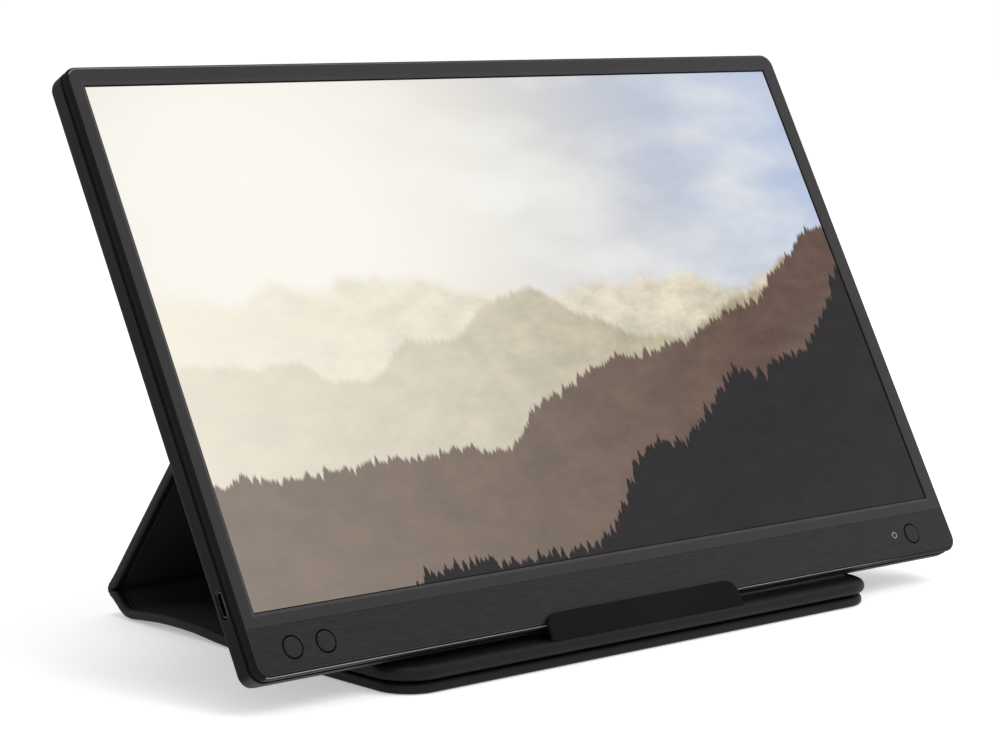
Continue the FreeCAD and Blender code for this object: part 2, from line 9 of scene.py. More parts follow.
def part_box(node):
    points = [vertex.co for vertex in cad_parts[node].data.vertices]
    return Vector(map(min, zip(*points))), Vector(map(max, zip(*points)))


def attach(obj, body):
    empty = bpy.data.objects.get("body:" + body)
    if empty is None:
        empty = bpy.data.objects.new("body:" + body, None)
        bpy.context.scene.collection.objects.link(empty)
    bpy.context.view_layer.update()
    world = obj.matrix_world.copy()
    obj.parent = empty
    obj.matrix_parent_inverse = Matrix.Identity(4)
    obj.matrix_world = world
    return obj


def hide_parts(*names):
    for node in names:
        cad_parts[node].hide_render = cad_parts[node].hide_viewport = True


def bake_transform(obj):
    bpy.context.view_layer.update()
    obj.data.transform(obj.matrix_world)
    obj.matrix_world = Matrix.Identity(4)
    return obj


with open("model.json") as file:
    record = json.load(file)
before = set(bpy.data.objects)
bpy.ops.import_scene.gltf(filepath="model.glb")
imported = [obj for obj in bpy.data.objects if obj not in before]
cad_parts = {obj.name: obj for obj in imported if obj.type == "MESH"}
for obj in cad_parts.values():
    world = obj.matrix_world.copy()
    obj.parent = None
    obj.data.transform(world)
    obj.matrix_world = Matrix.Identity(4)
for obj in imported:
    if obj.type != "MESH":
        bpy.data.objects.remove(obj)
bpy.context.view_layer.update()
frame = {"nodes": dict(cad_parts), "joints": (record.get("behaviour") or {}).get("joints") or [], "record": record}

MM = 0.001

# Camera at the photograph's viewing angle
CAMERA_PLACE = Vector((-0.77135, -0.83670, 0.24759))
CAMERA_AZIMUTH = 42.656
CAMERA_ELEVATION = 7.848
CAMERA_ROLL = 0.725
CAMERA_LENS = 108.39

# Folding sheet, tray and lip of the cover
LEAF_HEM = 2.8 * MM
STRUT_HEM = 4.2 * MM
HEM_STEP = 0.45 * MM
HEM_INSIDE = 2.0 * MM
LINING_DROP = 0.4
# Hem on the lining side: (millimetres past its line, share of its step that it lies deeper)
HEM_LINE = ((-0.35, 1.0), (-0.1, 0.8), (0.1, 0.15), (0.35, 0.0), (0.6, 0.15), (0.8, LINING_DROP))
LEAF_ROUND = 2.3 * MM
STRUT_ROUND = 1.1 * MM
OUTER_ROUND = 1.1 * MM
TRAY_UNDER_ROUND = 2.0 * MM
OUTER_ROUND_LIMIT = 0.4
INNER_ROUND_LIMIT = 0.52
TOP_FOLD_THICKNESS = 2.4 * MM
REAR_FOLD_THICKNESS = 3.0 * MM
BASE_FOLD_THICKNESS = 3.6 * MM
REAR_FOLD_ROUND = 4.2 * MM
REAR_CREASE = 0.3 * MM
REAR_BULGE = 0.8 * MM
BULGE_STEPS = 9
PUCKER_STEP = 3
PUCKER_DEPTH = 0.16 * MM
BASE_FOLD_ROUND = 16.5 * MM
TOP_FOLD_ROUND = -1.2 * MM
STRIP_REACH = 9.0 * MM
STRIP_SHARES = (0.33, 0.67)
PINCH_SHARE = 0.45
SPINE_HALF_STRAIGHT = 1.5 * MM
UNEVEN = 0.1 * MM
UNEVEN_SCALE = 28.0
CREASE_SCALE = 160.0
ARCH_RISE = 2.3 * MM
ARCH_LENGTH = 62.0 * MM
ARCH_START = 0.55
BASE_CORNER = 14.5 * MM
TRAY_FRONT_CORNER = 15.5 * MM
TRAY_REAR_CORNER = 18.0 * MM
MOUNT_CORNER = 24.0 * MM
LIP_CORNER = 5.0 * MM
LIP_ROUND_SHARE = 0.4
LIP_FACE_INSET = 3.0 * MM
LEVEL_TOLERANCE = 0.01 * MM
COLUMNS = 32
ROUND_STEPS = 6
LIP_STEPS = 5
CORNER_STEPS = 12
SIDE_STEPS = 12
FOLD_STEPS = 12
SPINE_STEPS = 2
STRUT_STEPS = 24

# Finishes on the front frame: slopes of its faces in degrees from facing the front,
# and how much a face at a corner has to point up or down to count as top or underside.
# The two line ranges pick the facets of the top metal line with its painted fade and of the lower painted
# highlight line
FACE_SLOPE = 8
TOP_LINE = (8, 25)
PAINTED_LOW_LINE = (33, 41)
SIDE_RIM = 65
TOP_CORNER = 0.5
LOW_CORNER = 0.92
RIM_MARGIN = 3.0 * MM

# Buttons and the printed power symbol
CAP_SHRINK = 0.2 * MM
CAP_ROUND = 0.55 * MM
CAP_DISH = 0.05 * MM
DISH_RADIUS_SHARE = 0.55
DISH_DEPTH_SHARE = 0.7
CAP_STEPS = 64
MARK_OFFSET = 10.2 * MM
MARK_RISE = 0.6 * MM
MARK_RADIUS = 1.2 * MM
MARK_STROKE = 0.17 * MM
MARK_LIFT = 0.02 * MM
MARK_STEPS = 28
MARK_START = 125
MARK_SWEEP = 290
MARK_BAR = (0.35, 1.4)

# Margins of the lit area on the glass
SCREEN_SIDE_MARGIN = 2.6 * MM
SCREEN_TOP_MARGIN = 2.2 * MM
SCREEN_BOTTOM_MARGIN = 3.4 * MM

# Surfaces: noise scales, and relief depths in metres
NOISE_RANGE = (0.3, 0.7)
CLOUD_SCALE = 35.0
SATIN_GRAIN = 3400.0
RIM_GRAIN = 3000.0
SATIN_DEPTH = 0.00001
ROUGH_SPREAD = 0.05

# Stage
FLOOR_SIZE = 30.0
FLOOR_DROP = 0.2 * MM
FLOOR_LIFT = 0.34
WORLD_LIGHT = 0.75
SENSOR_WIDTH = 36.0

nodes = frame["nodes"]
joints = {joint["name"]: joint for joint in frame["joints"]}

# Axes of the leaning monitor: into the screen, and up along it
INWARD = Vector(joints["power_button_press"]["axis"]).normalized()
UPWARD = Vector((1, 0, 0)).cross(INWARD)


def on_monitor(x, depth, rise):
    return Vector((x, 0, 0)) + INWARD * depth + UPWARD * rise


def monitor_places(node):
    """Points of a node along the monitor's own axes: x, depth into the screen, rise along it."""
    return [Vector((v.co.x, v.co.dot(INWARD), v.co.dot(UPWARD))) for v in nodes[node].data.vertices]


def monitor_box(node):
    places = monitor_places(node)
    low = Vector(min(p[i] for p in places) for i in range(3))
    high = Vector(max(p[i] for p in places) for i in range(3))
    return low, high


# Mesh helpers

def eased(share):
    return share * share * (3 - 2 * share)


def quarter_turn(steps):
    return [math.radians(90 * step / steps) for step in range(steps + 1)]


def make_object(name, verts, faces, face_slots=None, materials=()):
    mesh = bpy.data.meshes.new(name)
    mesh.from_pydata([tuple(v) for v in verts], [], faces)
    for material in materials:
        mesh.materials.append(material)
    if face_slots:
        mesh.polygons.foreach_set("material_index", face_slots)
    mesh.polygons.foreach_set("use_smooth", [True] * len(mesh.polygons))
    work = bmesh.new()
    work.from_mesh(mesh)
    bmesh.ops.recalc_face_normals(work, faces=work.faces)
    work.to_mesh(mesh)
    work.free()
    piece = bpy.data.objects.new(name, mesh)
    bpy.context.scene.collection.objects.link(piece)
    return piece


def dress(piece, body, slot, *replaced):
    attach(piece, body)
    if replaced:
        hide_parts(*replaced)


def revolve(name, profile, place, material):
    """Turned solid: (radius, depth) points from the front of its axis round to the back of it."""
    verts = [place(0, 0, profile[0][1])]
    for radius, depth in profile[1:-1]:
        for step in range(CAP_STEPS):
            angle = 2 * math.pi * step / CAP_STEPS
            verts.append(place(radius * math.cos(angle), radius * math.sin(angle), depth))
    verts.append(place(0, 0, profile[-1][1]))
    faces = []
    last_ring = len(verts) - 1 - CAP_STEPS
    for step in range(CAP_STEPS):
        after = (step + 1) % CAP_STEPS
        faces.append((0, 1 + step, 1 + after))
        faces.append((last_ring + step, last_ring + after, len(verts) - 1))
        for ring in range(1, last_ring, CAP_STEPS):
            faces.append((ring + step, ring + after, ring + CAP_STEPS + after, ring + CAP_STEPS + step))
    return make_object(name, verts, faces, None, (material,))


# Material helpers

class Shader:
    """A principled material and short ways to add nodes to it."""

    def __init__(self, name, **surface):
        self.material = bpy.data.materials.new(name)
        self.material.use_nodes = True
        self.tree = self.material.node_tree
        self.surface = self.tree.nodes["Principled BSDF"]
        for socket, value in surface.items():
            self.put(self.surface, socket.replace("_", " "), value)
        self.place = self.add("TexCoord", output="Object")

    def put(self, node, socket, value):
        target = node.inputs[socket]
        if isinstance(value, bpy.types.NodeSocket):
            self.tree.links.new(value, target)
        else:
            target.default_value = value

    def add(self, kind, inputs=None, output=0, **settings):
        node = self.tree.nodes.new("ShaderNode" + kind)
        for name, value in settings.items():
            setattr(node, name, value)
        for socket, value in (inputs or {}).items():
            self.put(node, socket, value)
        return node.outputs[output]

    def math(self, operation, first, second=0.0, third=0.0):
        return self.add("Math", {0: first, 1: second, 2: third}, operation=operation)

    def along(self, way):
        """Distance along a direction of the part's frame."""
        return self.add("VectorMath", {0: self.place, 1: way}, "Value", operation="DOT_PRODUCT")

    def on_face(self):
        """Place on the monitor's face: to the right, and up along it."""
        return self.add("CombineXYZ", {0: self.along((1, 0, 0)), 1: self.along(UPWARD)})

    def scaled(self, scale):
        return self.add("Mapping", {"Vector": self.place, "Scale": scale})

    def noise(self, scale, detail=3.0, vector=None, roughness=0.5):
        return self.add("TexNoise", {
            "Vector": vector or self.place, "Scale": scale, "Detail": detail, "Roughness": roughness})

    def ramp(self, value, low, high, to_low=0.0, to_high=1.0, smooth=False):
        return self.add("MapRange", {
            "Value": value, "From Min": low, "From Max": high, "To Min": to_low, "To Max": to_high},
            interpolation_type="SMOOTHSTEP" if smooth else "LINEAR")

    def vary(self, pattern, low=0.0, high=1.0):
        """A noise pattern, stretched to go from low to high."""
        return self.ramp(pattern, *NOISE_RANGE, low, high)

    def vary_roughness(self, pattern, rough):
        return self.vary(pattern, rough - ROUGH_SPREAD, rough + ROUGH_SPREAD)

    def mix(self, factor, first, second):
        return self.add("Mix", {0: factor, 6: first, 7: second}, 2, data_type="RGBA")

    def finish(self, color, roughness=None, bump=None, depth=0.0001, strength=1.0):
        self.put(self.surface, "Base Color", color)
        if roughness is not None:
            self.put(self.surface, "Roughness", roughness)
        if bump is not None:
            normal = self.add("Bump", {"Height": bump, "Distance": depth, "Strength": strength})
            self.put(self.surface, "Normal", normal)
        return self.material


def shade(color, factor):
    return tuple(min(1.0, c * factor) for c in color) + (1.0,)


def grained(name, color, rough, grain=1500.0, depth=0.00002, spread=0.1, **surface):
    """Plastic, film, foam or metal with a fine grain and a slight cloudiness."""
    s = Shader(name, **surface)
    grit = s.noise(grain, 2.0)
    cloud = s.noise(CLOUD_SCALE, 2.0)
    tone = s.mix(s.vary(cloud), shade(color, 1 - spread), shade(color, 1 + spread))
    return s.finish(tone, s.vary_roughness(grit, rough), grit, depth)


def grey(level):
    return (level * 1.03, level * 0.95, level * 1.01)


def case_with_painted_light(name, level, painted_reflection_level, rough, **surface):
    """Moulded plastic with painted light: darker towards its bottom and paler towards its top as painted top
    light, and paler on its underside as a painted reflection of the table.
    """
    s = Shader(name, **surface)
    grit = s.noise(2600.0, 2.0)
    low, high = monitor_box("rear_cover")
    # Painted top light: the tone runs from 0.6 at the case's bottom to 1.25 at its top; cloud carries it together
    # with a slight cloudiness.
    rise = s.ramp(s.along(UPWARD), low.z, high.z, 0.6, 1.25)
    cloud = s.math("MULTIPLY", rise, s.vary(s.noise(CLOUD_SCALE, 2.0), 0.9, 1.1))
    # Painted reflection of the table: faces that point down get the paler underside level.
    facing = s.add("VectorMath", {0: s.add("TexCoord", output="Normal"), 1: -UPWARD}, "Value",
                   operation="DOT_PRODUCT")
    tone = s.mix(s.ramp(facing, 0.3, 0.9), shade(grey(level), 1), shade(grey(painted_reflection_level), 1))
    tone = s.add("VectorMath", {0: tone, "Scale": cloud}, operation="SCALE")
    return s.finish(tone, s.vary_roughness(grit, rough), grit, 0.00003)


def painted_fading_edge(name, left, right, fade, rough, **surface):
    """Edge whose brightness fades from left to right as painted light: a painted highlight or painted reflection
    that dulls towards the right.
    """
    s = Shader(name, **surface)
    share = s.ramp(s.along((1, 0, 0)), *fade)
    grit = s.noise(RIM_GRAIN, 2.0)
    tone = s.mix(share, shade(grey(left), 1), shade(grey(right), 1))
    return s.finish(tone, s.vary_roughness(grit, rough))


def brushed_plastic(name, level, rough, gloss):
    """Dark trim with fine hairlines that run along the chin."""
    s = Shader(name)
    hairs = s.noise(1.0, 3.0, s.scaled((70.0, 5200.0, 5200.0)), 0.6)
    dashes = s.noise(1.0, 2.0, s.scaled((150.0, 2100.0, 2100.0)))
    streaks = s.math("ADD", s.math("MULTIPLY", hairs, 0.35), s.math("MULTIPLY", dashes, 0.65))
    light = s.ramp(streaks, 0.36, 0.64)
    s.put(s.surface, "Specular IOR Level", s.ramp(light, 0.0, 1.0, gloss * 0.88, gloss * 1.12))
    tone = s.mix(light, shade(grey(level), 0.75), shade(grey(level), 1.25))
    return s.finish(tone, s.ramp(light, 0.0, 1.0, rough - 0.06, rough + 0.06), streaks, 0.00002, 0.4)


def leatherette(name, level, rough, **surface):
    """Fine pebbled leatherette with slight cloudy wear."""
    s = Shader(name, **surface)
    pebbles = s.add("TexVoronoi", {"Vector": s.place, "Scale": 1500.0}, feature="SMOOTH_F1")
    creases = s.noise(700.0, 4.0)
    relief = s.math("ADD", pebbles, s.math("MULTIPLY", creases, 0.6))
    cloud = s.noise(25.0, 3.0)
    tone = s.mix(s.vary(cloud), shade(grey(level), 0.85), shade(grey(level), 1.15))
    return s.finish(tone, s.ramp(relief, 0.2, 1.0, rough - 0.08, rough + 0.1), relief, 0.00005, 0.5)


def brushed_cloth(name, level):
    """Short-napped cloth."""
    s = Shader(name, Specular_IOR_Level=0.12)
    nap = s.noise(2600.0, 4.0)
    cloud = s.noise(40.0, 3.0)
    tone = s.mix(s.vary(cloud), shade(grey(level), 0.8), shade(grey(level), 1.2))
    return s.finish(tone, s.vary(nap, 0.8, 0.95), nap, 0.00008, 0.6)


def striped(name, first, second, way, pitch, rough):
    """Two alternating bands across a direction, as on a flat cable."""
    s = Shader(name)
    wave = s.math("FRACT", s.math("DIVIDE", s.along(way), pitch))
    band = s.ramp(s.math("ABSOLUTE", s.math("SUBTRACT", wave, 0.5)), 0.2, 0.26)
    tone = s.mix(band, shade(first, 1), shade(second, 1))
    return s.finish(tone, s.vary(s.noise(900.0, 2.0), rough, rough + 0.1))


def circuit_board(name):
    """Solder mask over copper tracks and ground areas."""
    s = Shader(name)
    tracks = s.add("TexBrick", {
        "Vector": s.on_face(), "Scale": 60.0, "Mortar Size": 0.012, "Brick Width": 0.35, "Row Height": 0.07,
        "Color1": (0, 0, 0, 1), "Color2": (0.25, 0.25, 0.25, 1), "Mortar": (1, 1, 1, 1)})
    tone = s.mix(tracks, (0.008, 0.07, 0.03, 1), (0.03, 0.16, 0.07, 1))
    return s.finish(tone, s.vary(s.noise(500.0), 0.3, 0.4), tracks, 0.00002)


def dotted(name, color, dot_color, pitch):
    """Clear acrylic with printed dots."""
    s = Shader(name, Roughness=0.15)
    cells = s.add("TexVoronoi", {"Vector": s.on_face(), "Scale": 1 / pitch, "Randomness": 0.0})
    return s.finish(s.mix(s.ramp(cells, 0.25, 0.3), shade(dot_color, 1), shade(color, 1)))


def lit_screen(name, low, high):
    """Lit panel with a made-up view of misty hills in warm light, black outside its lit area.

    Its picture has u to the right and v up, both from 0 to 1 over the lit area.
    """
    sun_u, sun_v, sun_narrow = 0.16, 0.74, 1.5
    sunlight, cloud_white, mist_white = (1.0, 0.97, 0.90, 1), (0.86, 0.86, 0.84, 1), (0.98, 0.93, 0.80, 1)
    warm_sky, blue_sky = (0.70, 0.64, 0.53, 1), (0.46, 0.55, 0.74, 1)
    half_lit = 0.4999
    s = Shader(name, Roughness=0.3, Specular_IOR_Level=0.07)
    u = s.ramp(s.along((1, 0, 0)), low.x, high.x)
    v = s.ramp(s.along(UPWARD), low.z, high.z)

    def hills(base, slope, power, swell, frequency, seed, soft, trees):
        """Where a layer of hills is, and how deep each point lies under its crest."""
        place = s.math("ADD", s.math("MULTIPLY", u, frequency), seed)
        wobble = s.add("TexNoise", {"W": place, "Scale": 1.0, "Detail": 4.0, "Roughness": 0.45},
                       noise_dimensions="1D")
        crest = s.math("MULTIPLY_ADD", s.math("POWER", u, power), slope, base)
        crest = s.math("ADD", crest, s.math("MULTIPLY", s.math("SUBTRACT", wobble, 0.5), swell))
        spikes = s.add("TexNoise", {"W": place, "Scale": 34.0, "Detail": 3.0, "Roughness": 0.6},
                       noise_dimensions="1D")
        crest = s.math("ADD", crest, s.math("MULTIPLY", s.math("SUBTRACT", spikes, 0.5), trees))
        under = s.math("SUBTRACT", crest, v)
        return s.ramp(under, -soft, soft, smooth=True), under

    across = s.math("MULTIPLY", s.math("SUBTRACT", u, sun_u), sun_narrow)
    above = s.math("SUBTRACT", v, sun_v)
    squares = s.math("ADD", s.math("MULTIPLY", across, across), s.math("MULTIPLY", above, above))
    from_sun = s.math("SQRT", squares)
    glow = s.ramp(from_sun, 0.08, 0.95, 1.0, 0.0, smooth=True)
    clouds = s.noise(9.0, 4.0, s.scaled((1.0, 2.4, 2.4)))
    brush = s.noise(60.0, 5.0, s.scaled((1.0, 1.8, 1.8)), 0.65)
    sky = s.mix(s.ramp(u, 0.3, 0.95), warm_sky, blue_sky)
    sky = s.mix(s.ramp(clouds, 0.42, 0.68), sky, cloud_white)
    picture = s.mix(glow, sky, sunlight)
    # Layers of hills, from the farthest to the nearest
    layers = (
        (0.60, -0.10, 1.0, 0.22, 5.0, 3.1, 0.020, 0.0, (0.62, 0.56, 0.42), 0.95),
        (0.44, 0.06, 1.0, 0.26, 4.0, 11.7, 0.010, 0.02, (0.36, 0.31, 0.19), 0.80),
        (0.20, 0.36, 1.4, 0.30, 3.4, 21.3, 0.005, 0.05, (0.10, 0.05, 0.034), 0.2),
        (-0.12, 0.66, 1.6, 0.34, 3.0, 37.9, 0.003, 0.08, (0.010, 0.008, 0.009), 0.012),
    )
    for base, slope, power, swell, frequency, seed, soft, trees, color, haze in layers:
        mask, under = hills(base, slope, power, swell, frequency, seed, soft, trees)
        mist = s.math("MULTIPLY", s.ramp(u, 0.0, 0.8, 1.0, 0.12), haze)
        mist = s.math("MAXIMUM", mist, s.ramp(under, 0.02, 0.42, 0.0, haze * 0.55))
        ground = s.mix(s.ramp(brush, 0.35, 0.65), shade(color, 0.75), shade(color, 1.3))
        tone = s.mix(mist, ground, mist_white)
        picture = s.mix(mask, picture, tone)
    lit = s.math("MULTIPLY", s.math("COMPARE", u, 0.5, half_lit), s.math("COMPARE", v, 0.5, half_lit))
    s.put(s.surface, "Emission Color", s.mix(lit, (0, 0, 0, 1), picture))
    s.put(s.surface, "Emission Strength", 0.95)
    return s.finish(s.mix(lit, (0.004, 0.004, 0.004, 1), (0.012, 0.012, 0.013, 1)))


# Case material with painted top light and a painted reflection on its underside.
CASE_WITH_PAINTED_LIGHT = case_with_painted_light("case_plastic", 0.018, 0.12, 0.6, Specular_IOR_Level=0.04)
# Underside of the front frame: paler at the left and dark at the right, a painted reflection of the table.
UNDERSIDE_PAINTED_REFLECTION = painted_fading_edge("underside_painted_reflection", 0.045, 0.008, (0.08, 0.15), 0.5, Specular_IOR_Level=0.08)
BEZEL = grained("bezel_plastic", grey(0.0105), 0.34, SATIN_GRAIN, SATIN_DEPTH, Specular_IOR_Level=0.37)
# Inner bevel of the frame's opening: paler than the bezel as a painted highlight.
BEVEL_PAINTED_HIGHLIGHT = grained("bevel_painted_highlight", grey(0.035), 0.45, SATIN_GRAIN, SATIN_DEPTH, Specular_IOR_Level=0.2)
# Rims of the frame: darker than the bezel and with less shine as painted shade; the dark rim is darker still.
RIM = grained("rim_plastic", grey(0.004), 0.4, RIM_GRAIN, SATIN_DEPTH, Specular_IOR_Level=0.1)
DARK_RIM = grained("dark_rim_plastic", grey(0.008), 0.6, RIM_GRAIN, SATIN_DEPTH, Specular_IOR_Level=0.045)
# Metal line along the top edge, bright at the left and dull at the right as a painted highlight.
TOP_EDGE_PAINTED_FADE = painted_fading_edge("top_edge_metal", 0.24, 0.09, (-0.17, 0.02), 0.25, Metallic=1.0)
# Pale line along the lower edge: a painted highlight that fades out towards the right.
LOW_EDGE_PAINTED_HIGHLIGHT = painted_fading_edge("low_edge_painted_highlight", 0.42, 0.012, (0.11, 0.145), 0.35, Specular_IOR_Level=0.3)
CHIN = brushed_plastic("chin_brushed", 0.0085, 0.36, 0.26)
LEATHER = leatherette("cover_leatherette", 0.0065, 0.5, Specular_IOR_Level=0.155)
LIP_CLOTH = brushed_cloth("lip_cloth", 0.0052)
LINING = brushed_cloth("cover_lining", 0.022)
WHITE_INK = grained("white_ink", grey(0.62), 0.5, 2000.0, 0.000005)


# Panels of the folding sheet

FOLD_RADIUS = (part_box("rear_fold_roll")[1].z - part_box("rear_fold_roll")[0].z) / 2
BASE_AXIS, REAR_AXIS, TOP_AXIS = (
    Vector(joints[name]["pos_m"]) for name in ("spine_fold", "strut_fold", "monitor_fold"))


class Panel:
    """A straight panel: its way along, and its normal from the outer skin to the lining."""

    def __init__(self, axis, way):
        self.way = way.normalized()
        self.inner = Vector((1, 0, 0)).cross(self.way)
        self.foot = axis - self.inner * FOLD_RADIUS

    def at(self, x, along, height):
        return Vector((x, 0, 0)) + self.foot + self.way * along + self.inner * height

    def reach(self, node):
        """How far along the panel a node goes, and how thick the panel is there."""
        spots = [v.co - self.foot for v in nodes[node].data.vertices]
        ways = [spot.dot(self.way) for spot in spots]
        return min(ways), max(ways), max(spot.dot(self.inner) for spot in spots)


BASE = Panel(BASE_AXIS, Vector((0, 1, 0)))
SPINE = Panel(BASE_AXIS, REAR_AXIS - BASE_AXIS)
STRUT = Panel(REAR_AXIS, TOP_AXIS - REAR_AXIS)
MOUNT = Panel(TOP_AXIS, UPWARD)
SPINE_LENGTH = (REAR_AXIS - BASE_AXIS).length
STRUT_LENGTH = (TOP_AXIS - REAR_AXIS).length
SHEET_SIZE = (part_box("strut_skin")[1].x, STRUT.reach("strut_lining")[2], STRUT_HEM, STRUT_ROUND)
BASE_SIZE = (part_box("base_skin")[1].x, BASE.reach("base_lining")[2], LEAF_HEM, LEAF_ROUND)


def edge_profile(thickness, hem, rounding, under=OUTER_ROUND):
    """Section of a panel's edge, from its outer face round to its lining: (inset, height) points."""
    outer = min(under, OUTER_ROUND_LIMIT * thickness)
    inner = min(rounding, INNER_ROUND_LIMIT * thickness)
    points = [(hem + HEM_INSIDE, 0.0), (hem, 0.0)]
    quarter = quarter_turn(ROUND_STEPS)
    points += [(outer - outer * math.sin(a), outer - outer * math.cos(a)) for a in quarter]
    points += [(inner - inner * math.cos(a), thickness - inner + inner * math.sin(a)) for a in quarter]
    for run, drop in HEM_LINE:
        points.append((hem + run * MM, thickness - drop * HEM_STEP))
    points.append((hem + HEM_INSIDE, thickness - LINING_DROP * HEM_STEP))
    return points


HEM_ROW = len(edge_profile(*BASE_SIZE[1:])) - 3


def uneven(spot, normal, crease=0.0):
    """Slight unevenness of leatherette laid over its boards, with finer creases at a fold."""
    height = UNEVEN * noise.noise(spot * UNEVEN_SCALE) + crease * noise.noise(spot * CREASE_SCALE)
    moved = spot + normal * height
    moved.z = max(moved.z, 0.0)
    return moved


def arched(spot):
    """The leaf's free sides rise a little off the table between the tray and the spine."""
    along = (BASE_AXIS.y - spot.y) / ARCH_LENGTH
    side = (abs(spot.x) / BASE_SIZE[0] - ARCH_START) / (1 - ARCH_START)
    if not 0 < along < 1 or side < 0:
        return spot
    rise = ARCH_RISE * math.sin(math.pi * along) * eased(side)
    return spot + Vector((0, 0, rise))


def fold_turn(near, far):
    return math.atan2(near.inner.cross(far.inner).x, near.inner.dot(far.inner))


def fold_stations(near, far, near_end, radius, reaches, sizes, pinched):
    """Stations round a fold, from the near to the far panel.

    Each is (point on the outer skin, inner normal, half width, thickness, hem, rounding).
    """
    turn = fold_turn(near, far)
    setback = (radius - FOLD_RADIUS) * math.tan(turn / 2)
    stations = []
    for share in (0.0, *STRIP_SHARES):
        stations.append((near.at(0, near_end - reaches[0] + (reaches[0] - setback) * share, 0), near.inner))
    centre = near.at(0, near_end - setback, radius)
    for step in range(FOLD_STEPS + 1):
        inner = Quaternion((1, 0, 0), turn * step / FOLD_STEPS) @ near.inner
        stations.append((centre - inner * radius, inner))
    for share in (*STRIP_SHARES, 1.0):
        stations.append((far.at(0, setback + (reaches[1] - setback) * share, 0), far.inner))
    sized = []
    for index, (place, inner) in enumerate(stations):
        share = index / (len(stations) - 1)
        near_fold = eased(max(0.0, 1 - abs(share - 0.5) / PINCH_SHARE))
        half, thickness, *edge = (a + (b - a) * share for a, b in zip(*sizes))
        sized.append((place, inner, half, thickness + (pinched - thickness) * near_fold, *edge))
    return sized


def puckered(stations):
    """A tight fold is pushed out at its nose, and its edges are drawn in along two lines across it."""
    shaped = []
    middle = len(stations) // 2
    for index, (place, inner, half, *edge) in enumerate(stations):
        steps = abs(index - middle)
        bulge = REAR_BULGE * eased(max(0.0, 1 - steps / BULGE_STEPS))
        drawn = PUCKER_DEPTH if steps == PUCKER_STEP else 0.0
        shaped.append((place - inner * bulge, inner, half - drawn, *edge))
    return shaped


def straight_stations(panel, start, end, size, count):
    places = [panel.at(0, start + (end - start) * i / count, 0) for i in range(count + 1)]
    return [(place, panel.inner) + size for place in places]


def loft_sheet(name, stations, crease=0.0):
    """Closed section carried along the stations, open at both ends. Creases fade towards the ends."""
    verts = []
    rows = []
    across = [1 - 2 * i / COLUMNS for i in range(1, COLUMNS)]
    for index, (place, inner, half, *edge) in enumerate(stations):
        wrinkle = crease * math.sin(math.pi * index / (len(stations) - 1))
        profile = edge_profile(*edge)
        left = [(inset - half, height) for inset, height in profile]
        right = [(-x, height) for x, height in reversed(left)]
        top = [(left[-1][0] * share, left[-1][1]) for share in across]
        low = [(-left[0][0] * share, left[0][1]) for share in across]
        section = left + top + right + low
        rows.append(range(len(verts), len(verts) + len(section)))
        spots = [Vector((x, 0, 0)) + place + inner * height for x, height in section]
        verts += [uneven(spot, inner, wrinkle) for spot in spots]
    faces = []
    slots = []
    lining_end = 2 * len(profile) + COLUMNS - 2 - HEM_ROW
    for first, second in zip(rows, rows[1:]):
        for i in range(len(first)):
            j = (i + 1) % len(first)
            faces.append((first[i], first[j], second[j], second[i]))
            slots.append(1 if HEM_ROW <= i < lining_end else 0)
    return make_object(name, verts, faces, slots, (LEATHER, LINING))


def slab_outline(half, y0, y1, near_round, far_round):
    """Left edge of a slab from its near to its far end: (point, inward normal). None is an open end."""
    def corner(centre_y, radius, start):
        points = []
        for turned in quarter_turn(CORNER_STEPS):
            angle = math.radians(start) + turned
            out = Vector((-math.cos(angle), math.sin(angle)))
            points.append((Vector((radius - half, centre_y)) + out * radius, -out))
        return points

    near_arc = [] if near_round is None else corner(y0 + near_round, near_round, -90)
    far_arc = [] if far_round is None else corner(y1 - far_round, far_round, 0)
    start = near_arc[-1][0].y if near_arc else y0
    end = far_arc[0][0].y if far_arc else y1
    stops = [start + (end - start) * i / SIDE_STEPS for i in range(SIDE_STEPS + 1)]
    side = [(Vector((-half, y)), Vector((1, 0))) for y in stops]
    if near_arc:
        side = side[1:]
    if far_arc:
        side = side[:-1]
    return near_arc + side + far_arc


